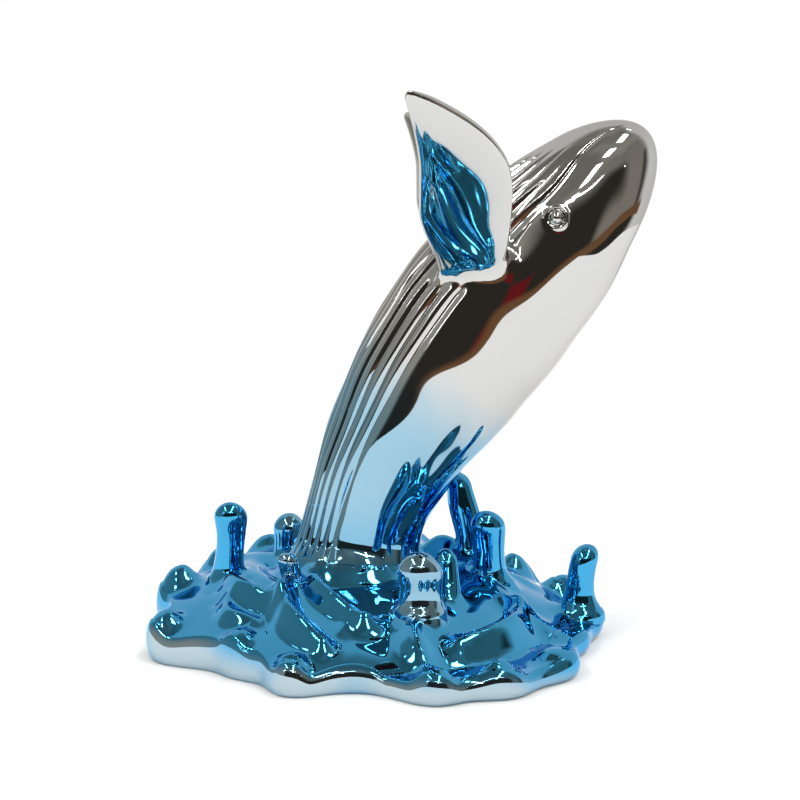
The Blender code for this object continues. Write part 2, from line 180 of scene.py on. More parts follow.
@dataclass(frozen=True)
class WhaleBody:
    """The whale from under the water to its snout, leaning over as it climbs, with pleats down its belly."""

    side_place: float = 22 * MM
    foot_x: float = -12 * MM
    foot_z: float = 12 * MM
    depth_in_water: float = 24 * MM
    length: float = 285 * MM
    lean_at_water: float = 5.0
    lean_gain: float = 37.2
    lean_reach: float = 75 * MM
    head_nod: float = 4.0
    nod_curve: float = 6.0
    waist_half_depth: float = 31.5 * MM
    chest_half_depth: float = 47.4 * MM
    waist_at: float = 10 * MM
    chest_at: float = 152 * MM
    width_share: float = 0.86
    snout_bluntness: float = 1.9
    snout_gap: float = 0.05 * MM
    water_flare: float = 5 * MM
    flare_reach: float = 8 * MM
    pleats_per_side: int = 6
    pleat_edge: float = 63.0
    jaw_edge: float = 40.0
    jaw_from: float = 225 * MM
    pleat_depth: float = 2.0 * MM
    pleat_swell: float = 0.5 * MM
    groove_width: float = 0.34
    edge_sharpness: float = 3.0
    pleat_fade_from: float = 208 * MM
    pleat_end: float = 254 * MM
    waver: float = 0.34 * MM
    waver_length: float = 8 * MM
    waver_bend: float = 2.0
    waver_waves: float = 3.0
    cross_waver_length: float = 15 * MM
    cross_waver_arms: float = 5.0
    waver_fade: float = 40 * MM
    rings: int = 200
    ring_crowding: float = 1.35
    line_steps: int = 2000
    steps_per_pleat: int = 10
    flank_steps: int = 22
    spine_steps: int = 18
    flank_share: float = 0.265
    melt: float = 9 * MM

    def middle_line(self, along: Array) -> tuple[Array, Array]:
        """Place points on the middle line, whose lean grows as 1 - exp(-s / reach), with a nod at the head.

        Args:
            along: Distances along the line from the water.

        Returns:
            The points, and the lean from upright at each in radians.
        """
        steps = np.linspace(-self.depth_in_water, self.length, self.line_steps)
        above = np.maximum(steps, 0.0)
        lean = self.lean_at_water + self.lean_gain * (1.0 - np.exp(-above / self.lean_reach))
        lean = np.radians(lean + self.head_nod * (above / self.length) ** self.nod_curve)
        stride = steps[1] - steps[0]
        line_x = self.foot_x + np.concatenate([[0.0], np.cumsum(np.sin(lean[:-1]) * stride)])
        line_z = self.foot_z + np.concatenate([[0.0], np.cumsum(np.cos(lean[:-1]) * stride)])
        x, z = np.interp(along, steps, line_x), np.interp(along, steps, line_z)
        return np.stack([x, np.full_like(along, self.side_place), z], -1), np.interp(along, steps, lean)

    def half_depth(self, along: Array) -> Array:
        """Give half the body's depth from back to belly: a flared waist, a chest and a blunt snout.

        Args:
            along: Distances along the middle line.

        Returns:
            The half depth at each.
        """
        gain = self.chest_half_depth - self.waist_half_depth
        swell = self.waist_half_depth + gain * smoothstep(self.waist_at, self.chest_at, along)
        swell = swell + self.water_flare * np.exp(-np.maximum(along, 0.0) / self.flare_reach)
        from_tip = np.clip((self.length - along) / (self.length - self.chest_at), 0.0, 1.0)
        head = self.chest_half_depth * np.sqrt(1.0 - (1.0 - from_tip) ** self.snout_bluntness)
        return np.where(along > self.chest_at, head, swell)

    def pleat_relief(self, along: Array, share: Array) -> Array:
        """Raise each pleat as a cosine swell and cut a Gaussian groove between pleats, fading out on the jaw.

        Args:
            along: Distances along the middle line.
            share: Places round the belly, from -1 to 1 at the edges of the pleats.

        Returns:
            How far the skin stands out from the plain body, negative in the grooves.
        """
        across = np.abs((share * self.pleats_per_side + 0.5) % 1.0 - 0.5) * 2.0
        belly = np.abs(share) <= 1.0 + 1e-9
        groove = np.exp(-((across / self.groove_width) ** 2))
        jaw_fade = 1.0 - smoothstep(self.pleat_fade_from, self.pleat_end, along)
        mouth_fade = 1.0 - smoothstep(self.pleat_end, self.length, along)
        outside = np.maximum(np.abs(share) - 1.0, 0.0) * 2.0 * self.pleats_per_side * self.edge_sharpness
        edge = np.exp(-((outside / self.groove_width) ** 2))
        at_edge = np.abs(np.abs(share) - 1.0) < 0.5 / self.pleats_per_side
        fade = np.where(at_edge | ~belly, mouth_fade, jaw_fade)
        cut = np.where(belly, groove, edge) * fade
        rise = np.where(belly, 0.5 - 0.5 * np.cos(np.pi * across), 0.0) * jaw_fade
        scale = self.half_depth(along) / self.chest_half_depth
        return (self.pleat_swell * rise - self.pleat_depth * cut) * scale

    def waver_relief(self, along: Array, turn: Array) -> Array:
        """Give the casting's slight waver: two sines that run askew along and round the body.

        Args:
            along: Distances along the middle line.
            turn: Angles round it in radians.

        Returns:
            How far the skin stands out, fading to nothing at the snout.
        """
        waver = np.sin(along / self.waver_length + self.waver_bend * np.sin(self.waver_waves * turn))
        waver = waver + np.sin(self.cross_waver_arms * turn - along / self.cross_waver_length)
        return self.waver * waver * smoothstep(0.0, self.waver_fade, self.length - along)

    def skin(self, along: Array, share: Array) -> Array:
        """Place points of the skin: ellipses across the middle line, with the pleats' relief and the waver.

        Args:
            along: Distances along the middle line.
            share: Places round it: -1 to 1 across the belly, and 1 to 2 on round the back.

        Returns:
            The points.
        """
        to_jaw = smoothstep(self.jaw_from, self.length, along)
        edge = self.pleat_edge + (self.jaw_edge - self.pleat_edge) * to_jaw
        back = edge + (share - 1.0) * (FULL_TURN - 2.0 * edge)
        turn = np.radians(np.where(share < 1.0, share * edge, back))
        centre, lean = self.middle_line(along)
        # Round the back, the relief is read from the nearer edge of the pleats
        mirrored = np.where(share > 1.5, 3.0 - share, share)
        depth = self.half_depth(along) + self.pleat_relief(along, mirrored) + self.waver_relief(along, turn)
        up = depth * np.cos(turn)
        out = self.width_share * depth * np.sin(turn)
        return centre + np.stack([-np.cos(lean) * up, -out, np.sin(lean) * up], -1)

    def build(self) -> Shell:
        """Lay the skin over a grid of rings and columns, closer together on the pleats and flanks.

        Returns:
            The body's shell.
        """
        stage = 1.0 - (1.0 - np.linspace(0.0, 1.0, self.rings)) ** self.ring_crowding
        along = -self.depth_in_water + (self.length + self.depth_in_water - self.snout_gap) * stage
        belly = np.linspace(-1.0, 1.0, 2 * self.pleats_per_side * self.steps_per_pleat, endpoint=False)
        flank = np.linspace(0.0, self.flank_share, self.flank_steps, endpoint=False)
        spine = np.linspace(self.flank_share, 1.0 - self.flank_share, self.spine_steps, endpoint=False)
        far = np.linspace(1.0 - self.flank_share, 1.0, self.flank_steps, endpoint=False)
        columns = np.concatenate([belly, 1.0 + flank, 1.0 + spine, 1.0 + far])
        return Shell.from_rings(self.skin(*np.meshgrid(along, columns, indexing="ij")), self.melt)


@dataclass(frozen=True)
class Flipper:
    """One raised flipper: a flat blade on the flank, leaning outward, with a swept tip and a rounded heel."""

    name: str
    flare: float
    side: Side
    shoulder_at: float = 190 * MM
    rise: float = 11.8 * MM
    proud: float = 4 * MM
    low: float = -31 * MM
    high: float = 109 * MM
    widest: float = 34 * MM
    front_edge: float = 10 * MM
    tip_front: float = 58 * MM
    back_edge: float = 56.5 * MM
    tip_back: float = 64.5 * MM
    heel_back: float = 46 * MM
    half_thick: float = 3.2 * MM
    thick_squareness: float = 8.0
    edge_roundness: float = 0.8
    face_roundness: float = 0.6
    front_curve: float = 2.7
    front_drop: float = 4 * MM
    heel_rounding: float = 27 * MM
    heel_squareness: float = 9.0
    heel_from: float = -19 * MM
    heel_to: float = 31 * MM
    sweep_from: float = 58 * MM
    sweep_curve: float = 1.5
    root_swell: float = 1.2
    root_at: float = -5 * MM
    root_reach: float = 31 * MM
    twist: float = 9.0
    end_rounding: float = 5 * MM
    end_gap: float = 0.012
    rings: int = 84
    around: int = 64
    melt: float = 8 * MM

    def edges(self, up: Array) -> tuple[Array, Array]:
        """Give the leading and trailing edges' distances from the shoulder, as powers of the way up or down.

        Args:
            up: Heights along the flipper.

        Returns:
            The leading edge's distance and the trailing edge's.
        """
        rise = np.clip((up - self.widest) / (self.high - self.widest), 0.0, 1.0)
        drop = np.clip((self.widest - up) / (self.widest - self.low), 0.0, 1.0)
        front = self.front_edge + (self.tip_front - self.front_edge) * rise**self.front_curve
        front = front + self.front_drop * drop**2 + self.heel_rounding * drop**self.heel_squareness
        sweep = np.clip((up - self.sweep_from) / (self.high - self.sweep_from), 0.0, 1.0) ** self.sweep_curve
        heel = 1.0 - smoothstep(self.heel_from, self.heel_to, up)
        back = self.back_edge + (self.heel_back - self.back_edge) * heel
        return front, back + (self.tip_back - self.back_edge) * sweep

    def build(self, body: WhaleBody) -> Shell:
        """Stack flat rounded sections up the blade, thicker at the root and rounded off at both ends.

        Args:
            body: The body that it stands on.

        Returns:
            The flipper's shell.
        """
        evenly = np.linspace(self.end_gap, 1.0 - self.end_gap, self.rings)
        stage = 0.5 - 0.5 * np.cos(np.pi * evenly)
        up = (self.low + (self.high - self.low) * stage)[:, None]
        front, back = self.edges(up)
        turn = np.arange(self.around) * 2.0 * np.pi / self.around
        across = np.sign(np.cos(turn)) * np.abs(np.cos(turn)) ** self.edge_roundness
        through = np.sign(np.sin(turn)) * np.abs(np.sin(turn)) ** self.face_roundness
        from_end = np.minimum(up - self.low, self.high - up)
        narrowing = np.sqrt(1.0 - np.clip(1.0 - from_end / self.end_rounding, 0.0, 1.0) ** 2)
        rounding = np.sqrt(1.0 - np.abs(2.0 * stage - 1.0) ** self.thick_squareness)[:, None]
        swell = np.exp(-(((up - self.root_at) / self.root_reach) ** 2)) * (0.5 + 0.5 * across)
        thick = self.half_thick * rounding * (1.0 + self.root_swell * swell) * through
        shoulder = body.middle_line(np.array([self.shoulder_at]))[0][0]
        flank = body.width_share * body.half_depth(np.array([self.shoulder_at]))[0]
        lean = np.radians(self.flare)
        twist = np.tan(np.radians(self.twist)) * (up - self.low) / (self.high - self.low)
        aside = (back - front) / 2.0 * narrowing * across
        x = shoulder[0] - (front + back) / 2.0 + aside
        outward = flank + self.proud + up * np.sin(lean) + thick * np.cos(lean) - twist * aside
        z = shoulder[2] + self.rise + up * np.cos(lean) - thick * np.sin(lean)
        return Shell.from_rings(np.stack([x, body.side_place + self.side.value * outward, z], -1), self.melt)


@dataclass(frozen=True)
class Eye:
    """An eyeball in the ring of its lid, on one flank of the head."""

    name: str
    side: Side
    along: float = 220 * MM
    angle: float = 80.0
    radius: float = 3.4 * MM
    pole_to_pole: float = 0.94
    lid_radius: float = 5.6 * MM
    lid_thick: float = 1.15 * MM
    around: int = 40
    rings: int = 16
    melt: float = 1.6 * MM

    def build(self, body: WhaleBody) -> list[Shell]:
        """Turn a ball and a ring to face out of the skin.

        Args:
            body: The body that the eye is in.

        Returns:
            The ball's shell and the lid's.
        """
        centre, lean = body.middle_line(np.array([self.along]))
        angle = np.radians(self.angle)
        belly_way = np.cos(angle) * np.array([-np.cos(lean[0]), 0.0, np.sin(lean[0])])
        side_way = np.sin(angle) * np.array([0.0, self.side.value, 0.0])
        depth = body.half_depth(np.array([self.along]))[0]
        place = centre[0] + depth * (belly_way + body.width_share * side_way)
        turn = np.array(Vector((belly_way + side_way).tolist()).to_track_quat("Z", "Y").to_matrix())
        spin = np.arange(self.around) * 2.0 * np.pi / self.around
        tilt = np.linspace(-0.5, 0.5, self.rings)[:, None] * self.pole_to_pole * np.pi
        level = np.sin(tilt) + 0.0 * spin
        ball = np.stack([np.cos(tilt) * np.cos(spin), np.cos(tilt) * np.sin(spin), level], -1)
        spin = spin[:, None]
        tube = np.arange(self.rings) * 2.0 * np.pi / self.rings
        out = self.lid_radius + self.lid_thick * np.cos(tube)
        level = self.lid_thick * np.sin(tube) + 0.0 * spin
        ring = np.stack([out * np.cos(spin), out * np.sin(spin), level], -1)
        return [
            Shell.from_rings(self.radius * ball @ turn.T + place, self.melt),
            Shell.from_rings(ring @ turn.T + place, self.melt, capped=False),
        ]


@dataclass(frozen=True)
class Lobe:
    """A swelling of the water's rim with a drip on it: angle and width in degrees, the rest in mm."""

    angle: float
    reach: float
    width: float
    drip: float
    inset: float
    drip_radius: float


@dataclass(frozen=True)
class Crest:
    """A ridge of water: its ends in percent of the rim radius, its height, width and sideways bend in mm."""

    start: tuple[float, float]
    end: tuple[float, float]
    height: float
    width: float
    bend: float


@dataclass(frozen=True)
class Water:
    """The water: a lobed disc with drips on its rim, a mound with a bowl at the whale's foot, and crests."""

    foot: tuple[float, float] = (-12 * MM, 22 * MM)
    rim_radius: float = 93 * MM
    rim_height: float = 11 * MM
    mound_height: float = 45 * MM
    mound_reach: float = 118 * MM
    mound_curve: float = 0.75
    mound_overshoot: float = 1.25
    bowl_radius: float = 43 * MM
    bowl_depth: float = 7 * MM
    bowl_width: float = 7 * MM
    moat: float = 1.5 * MM
    moat_reach: float = 2.2
    taper: float = 0.45
    drip_squareness: float = 2.8
    ripple: float = 0.28 * MM
    ripple_length: float = 8 * MM
    ripple_arms: float = 6.0
    cross_ripple: float = 0.8
    cross_ripple_length: float = 12 * MM
    cross_ripple_arms: float = 3.0
    cross_ripple_phase: float = 1.0
    ripple_rise: Rise = (30 * MM, 60 * MM)
    around: int = 480
    rings: int = 84
    crowding: float = 1.25
    inner: float = 0.16
    lip_share: float = 0.966
    lip_rings: int = 12
    melt: float = 9 * MM
    lobes: tuple[Lobe, ...] = (
        Lobe(-163, 29, 14, 9.5, 8, 9.5),
        Lobe(-136, 6, 9, 5, 6, 8),
        Lobe(-113, 15, 10, 8, 7, 8.5),
        Lobe(-74, 24, 10, 8, 8, 9),
        Lobe(-56, 27, 11, 5.5, 10, 9.5),
        Lobe(-34, 31, 15, 4, 12, 11),
        Lobe(-12, 15, 9, 2, 12, 12),
        Lobe(6, 31, 13, 3, 12, 12),
        Lobe(27, 34, 11, 12, 12, 10),
        Lobe(43, 20, 10, 11, 8, 9),
        Lobe(60, 16, 12, 5, 12, 11),
        Lobe(80, 15, 14, 6, 10, 11),
        Lobe(104, 19, 13, 11, 11, 10),
        Lobe(128, 14, 11, 9, 8, 10),
        Lobe(148, 16, 11, 9, 10, 9),
        Lobe(168, 27, 12, 12, 12, 10),
    )
    crests: tuple[Crest, ...] = (
        Crest((-82, 0), (-52, -47), 12, 6.5, -7),
        Crest((-82, -32), (-65, -56), 7, 5.5, -5),
        Crest((-47, -24), (-26, -86), 13, 5.5, -10),
        Crest((-37, -11), (-4, -67), 10, 5, -7),
        Crest((-13, -69), (9, -62), 5, 6, -4),
        Crest((26, -52), (32, -103), 8, 7.5, -5),
        Crest((48, -77), (84, -22), 12, 6.5, -10),
        Crest((43, -112), (75, -90), 5, 6, -5),
        Crest((65, 11), (103, -32), 6, 8, -7),
        Crest((24, 47), (60, 32), 13, 9, 4),
        Crest((69, 28), (95, 43), 4, 10, 5),
        Crest((-65, 43), (-95, 56), 3, 9, -5),
        Crest((22, 75), (37, 105), 9, 8, 6),
        Crest((-32, 77), (-49, 103), 9, 8, -6),
    )

    def place(self, percent: tuple[float, float]) -> Array:
        """Turn a place of the plan from percent of the rim radius into metres.

        Args:
            percent: The place in percent.

        Returns:
            The place in metres.
        """
        return np.array(percent) * self.rim_radius / 100.0

    def rim(self, angle: Array) -> Array:
        """Give the radius of the water's edge: a circle with a Gaussian swelling at each lobe.

        Args:
            angle: Angles round the plan in radians.

        Returns:
            The radius at each.
        """
        radius = np.full_like(angle, self.rim_radius)
        half_turn = FULL_TURN / 2.0
        for lobe in self.lobes:
            away = (np.degrees(angle) - lobe.angle + half_turn) % FULL_TURN - half_turn
            radius = radius + lobe.reach * MM * np.exp(-((away / lobe.width) ** 2))
        return radius

    def crest_distance(self, x: Array, y: Array, crest: Crest) -> tuple[Array, Array]:
        """Measure the distance in the plan to a crest's line, a parabola bent aside between its ends.

        Args:
            x: Places along X.
            y: Places along Y.
            crest: The crest.

        Returns:
            The distance of each place in crest widths, and its share of the way along the crest.
        """
        start = self.place(crest.start)
        run = self.place(crest.end) - start
        length = np.hypot(*run)
        along = ((x - start[0]) * run[0] + (y - start[1]) * run[1]) / length
        share = np.clip(along / length, 0.0, 1.0)
        aside = (run[0] * (y - start[1]) - run[1] * (x - start[0])) / length
        aside = aside - crest.bend * MM * 4.0 * share * (1.0 - share)
        return np.hypot(aside, along - share * length) / (crest.width * MM), share

    def swirl(self, x: Array, y: Array) -> Array:
        """Give the fine swirl round the whale's foot: two sines that wind opposite ways, none at the foot.

        Args:
            x: Places along X.
            y: Places along Y.

        Returns:
            The height of the swirl at each place.
        """
        away = np.hypot(x - self.foot[0], y - self.foot[1])
        turn = np.arctan2(y - self.foot[1], x - self.foot[0])
        swirl = np.sin(self.ripple_arms * turn + away / self.ripple_length)
        cross = self.cross_ripple_arms * turn - away / self.cross_ripple_length
        cross = np.sin(cross + self.cross_ripple_phase)
        return self.ripple * (swirl + self.cross_ripple * cross) * smoothstep(*self.ripple_rise, away)

    def top(self, x: Array, y: Array) -> Array:
        """Give the water's height: the mound and its bowl, Gaussian crests in moats, drips and the swirl.

        Args:
            x: Places along X.
            y: Places along Y.

        Returns:
            The height at each place.
        """
        away = np.hypot(x - self.foot[0], y - self.foot[1])
        fall = np.clip(1.0 - away / self.mound_reach, 0.0, 1.0) ** self.mound_curve * self.mound_overshoot
        top = np.minimum(self.rim_height + (self.mound_height - self.rim_height) * fall, self.mound_height)
        top = top - self.bowl_depth * np.exp(-(((away - self.bowl_radius) / self.bowl_width) ** 2))
        for crest in self.crests:
            far, share = self.crest_distance(x, y, crest)
            height = crest.height * MM * (1.0 - self.taper * (2.0 * share - 1.0) ** 2)
            top = top + height * np.exp(-(far**2)) - self.moat * np.exp(-((far / self.moat_reach) ** 2))
        for lobe in self.lobes:
            angle = np.radians(lobe.angle)
            reach = self.rim(np.array([angle]))[0] - lobe.inset * MM
            far = np.hypot(x - reach * np.cos(angle), y - reach * np.sin(angle)) / (lobe.drip_radius * MM)
            top = top + lobe.drip * MM * np.exp(-(far**self.drip_squareness))
        return top + self.swirl(x, y)

    def build(self) -> Shell:
        """Lay rings from the whale's foot to the rim, and carry them down over a half-round lip.

        Returns:
            The water's shell, flat underneath.
        """
        spin = np.arange(self.around) * 2.0 * np.pi / self.around
        foot = np.array(self.foot)
        to_edge = self.rim(spin)[:, None] * np.stack([np.cos(spin), np.sin(spin)], -1) - foot
        stage = 1.0 - (1.0 - np.linspace(0.0, 1.0, self.rings)) ** self.crowding
        shares = (self.inner + (self.lip_share - self.inner) * stage)[:, None, None]
        plan = foot + to_edge * shares
        upper = np.concatenate([plan, self.top(plan[..., 0], plan[..., 1])[..., None]], -1)
        tilt = np.radians(np.linspace(90.0, -90.0, self.lip_rings + 1)[1:, None])
        out = self.lip_share + (1.0 - self.lip_share) * np.cos(tilt)
        height = upper[-1, :, 2] * (0.5 + 0.5 * np.sin(tilt))
        lip = np.concatenate([foot + to_edge * out[..., None], height[..., None]], -1)
        return Shell.from_rings(np.vstack([upper, lip]), self.melt)


@dataclass(frozen=True)
class Spray:
    """A finger of spray: its foot and top in percent of the rim radius, its height and radii in mm."""

    foot: tuple[float, float]
    top: tuple[float, float]
    height: float
    radius: float
    neck: float
    flare: float
    stem_rings: int = 34
    stem_end: float = 1.3
    dome_rings: int = 9
    dome_from: float = -8.0
    dome_to: float = 87.0
    around: int = 28
    lean_curve: float = 1.6
    bulb_reach: float = 7 * MM
    flare_from: float = 0.05
    flare_to: float = 0.5
    foot_height: float = 10 * MM
    skirt_share: float = 0.36
    skirt_reach: float = 4.5 * MM
    unevenness: float = 0.05
    uneven_length: float = 9 * MM
    sway: float = 0.55 * MM
    sway_length: float = 7 * MM
    cross_sway_length: float = 9 * MM
    melt: float = 9 * MM

    def radii(self, below: Array, rise: Array, skirt_rise: Array) -> Array:
        """Give the finger's radius: a neck with a bulb and a dome above, and a flare and a skirt at the foot.

        Args:
            below: Distances below the tip.
            rise: The same places as shares of the way up.
            skirt_rise: Their heights above the water, in metres.

        Returns:
            The radius at each place, in mm.
        """
        radius = self.radius * MM
        bulb = (self.radius - self.neck) * np.exp(-(((below - radius) / self.bulb_reach) ** 2))
        cap = np.sqrt(1.0 - np.clip(1.0 - below / radius, 0.0, 1.0) ** 2)
        flare = self.flare * (1.0 - smoothstep(self.flare_from, self.flare_to, rise)) ** 2
        skirt = self.skirt_share * self.radius * np.exp(-np.maximum(skirt_rise, 0.0) / self.skirt_reach)
        return (self.neck + bulb) * cap + flare + skirt * cap

    def build(self, water: Water) -> Shell:
        """Carry round sections up the bent line, a little out of round and swaying a little.

        Args:
            water: The water that it stands in.

        Returns:
            The finger's shell.
        """
        radius = self.radius * MM
        tall = self.height * MM - self.foot_height
        dome = radius * (1.0 - np.sin(np.radians(np.linspace(self.dome_from, self.dome_to, self.dome_rings))))
        below = np.append(np.linspace(tall, radius * self.stem_end, self.stem_rings), dome)
        rise = 1.0 - below / tall
        foot = water.place(self.foot)
        plan = foot + (water.place(self.top) - foot) * (rise**self.lean_curve)[:, None]
        surface = water.top(*foot) - self.foot_height
        reach = self.radii(below, rise, tall * rise - surface)[:, None] * MM
        spin = np.arange(self.around) * 2.0 * np.pi / self.around
        climb = (self.foot_height + tall * rise)[:, None]
        # Height and place set the phase, so that no two fingers sway alike
        phase = self.height + self.foot[0]
        reach = reach * (1.0 + self.unevenness * np.sin(2.0 * spin + phase + climb / self.uneven_length))
        sway_x = self.sway * np.sin(climb / self.sway_length + phase)
        sway_y = self.sway * np.cos(climb / self.cross_sway_length + phase)
        x = plan[:, :1] + sway_x + reach * np.cos(spin)
        y = plan[:, 1:] + sway_y + reach * np.sin(spin)
        return Shell.from_rings(np.stack([x, y, climb + 0.0 * spin], -1), self.melt)


SPRAYS = (
    Spray((-83, 11), (-81, 0), 76, 8.6, 7.8, 8),
    Spray((-51, 47), (-49.5, 48), 60, 8.4, 7.6, 9),
    Spray((-44, -15), (-48, -19), 53, 5.2, 4.8, 7),
    Spray((27, -51), (26, -58), 62.5, 11.3, 10.4, 7),
    Spray((42, -30), (42, -18), 55, 5.4, 5.6, 7),
    Spray((62, 34), (48.5, 43), 84, 7.2, 8.0, 10),
    Spray((69, 20), (65, 11), 69, 9.4, 8.8, 10),
    Spray((119, 9), (123, 9), 51, 7.8, 7.6, 3),
    Spray((6, 95), (11, 97), 58, 7.6, 7.0, 8),
)


class Wire:
    """A node's output that adds, subtracts, multiplies and divides as a number does."""

    def __init__(self, graph: Graph, socket: bpy.types.NodeSocket) -> None:
        """Hold a socket of a graph.

        Args:
            graph: The graph that the socket is in.
            socket: The output socket.
        """
        self.graph = graph
        self.socket = socket

    def __add__(self, other: Wire | float) -> Wire:
        """Add a value or a wire."""
        return self.graph.math("ADD", self, other)

    def __radd__(self, other: float) -> Wire:
        """Add this wire to a value."""
        return self.graph.math("ADD", other, self)

    def __sub__(self, other: Wire | float) -> Wire:
        """Take a value or a wire away."""
        return self.graph.math("SUBTRACT", self, other)

    def __rsub__(self, other: float) -> Wire:
        """Take this wire away from a value."""
        return self.graph.math("SUBTRACT", other, self)

    def __mul__(self, other: Wire | float) -> Wire:
        """Multiply by a value or a wire."""
        return self.graph.math("MULTIPLY", self, other)

    def __rmul__(self, other: float) -> Wire:
        """Multiply a value by this wire."""
        return self.graph.math("MULTIPLY", other, self)

    def __truediv__(self, other: Wire | float) -> Wire:
        """Divide by a value or a wire."""
        return self.graph.math("DIVIDE", self, other)

    def __rtruediv__(self, other: float) -> Wire:
        """Divide a value by this wire."""
        return self.graph.math("DIVIDE", other, self)


class Graph:
    """A node tree being written, with one method for any node and short ones for the usual sums."""

    def __init__(self, tree: bpy.types.NodeTree) -> None:
        """Start from an empty tree.

        Args:
            tree: The tree to clear and fill.
        """
        self.tree = tree
        tree.nodes.clear()

    def node(
        self,
        kind: str,
        settings: dict[str, object] | None = None,
        inputs: dict[str | int, object] | None = None,
    ) -> bpy.types.Node:
        """Add a node.

        Args:
            kind: The node's type.
            settings: Its properties.
            inputs: Values or wires for its sockets, by name or place.

        Returns:
            The node.
        """
        node = self.tree.nodes.new(kind)
        for name, value in (settings or {}).items():
            setattr(node, name, value)
        for name, value in (inputs or {}).items():
            if isinstance(value, Wire):
                self.tree.links.new(value.socket, node.inputs[name])
            else:
                node.inputs[name].default_value = value
        return node

    def wire(self, node: bpy.types.Node, output: str | int = 0) -> Wire:
        """Take an output of a node.

        Args:
            node: The node.
            output: The output's name or place.

        Returns:
            The output as a wire.
        """
        return Wire(self, node.outputs[output])

    def math(self, operation: str, *values: Wire | float) -> Wire:
        """Add a Math node.

        Args:
            operation: Its operation.
            values: Its inputs in order.

        Returns:
            The result.
        """
        return self.wire(self.node("ShaderNodeMath", {"operation": operation}, dict(enumerate(values))))

    def distance(self, x: Wire, y: Wire) -> Wire:
        """Measure how far away a place of the plan is.

        Args:
            x: Its distance along X.
            y: Its distance along Y.

        Returns:
            The root of the sum of their squares.
        """
        return self.math("SQRT", x * x + y * y)

    def step(self, value: Wire, low: float, high: float) -> Wire:
        """Rise smoothly from 0 at low to 1 at high.

        Args:
            value: The value to place on the rise.
            low: Where it starts.
            high: Where it ends.

        Returns:
            The share of the rise.
        """
        inputs = {"Value": value, "From Min": low, "From Max": high}
        return self.wire(self.node("ShaderNodeMapRange", {"interpolation_type": "SMOOTHSTEP"}, inputs))

    def blend(self, share: Wire | float, first: Wire | Colour, second: Wire | Colour) -> Wire:
        """Mix two colours.

        Args:
            share: How much of the second colour.
            first: A colour or a wire.
            second: A colour or a wire.

        Returns:
            The mixed colour.
        """
        sides = [side if isinstance(side, Wire) else (*side, 1.0) for side in (first, second)]
        node = self.node("ShaderNodeMix", {"data_type": "RGBA"}, {0: share, 6: sides[0], 7: sides[1]})
        return self.wire(node, 2)

    def split(self, vector: Wire) -> tuple[Wire, Wire, Wire]:
        """Split a vector.

        Args:
            vector: The vector.

        Returns:
            Its X, Y and Z.
        """
        node = self.node("ShaderNodeSeparateXYZ", inputs={0: vector})
        return self.wire(node, 0), self.wire(node, 1), self.wire(node, 2)

    def noise(self, place: Wire, scale: float, detail: float = 2.0) -> Wire:
        """Add a noise texture.

        Args:
            place: Where it is read.
            scale: Its scale.
            detail: Its detail.

        Returns:
            The noise, around 0.5.
        """
        inputs = {"Vector": place, "Scale": scale, "Detail": detail}
        return self.wire(self.node("ShaderNodeTexNoise", {"noise_dimensions": "3D"}, inputs), "Fac")


@dataclass(frozen=True)
class ThinSpot:
    """A place of the plan where the lacquer ran thin on the side that faces the front."""

    x: float
    y: float
    reach: float


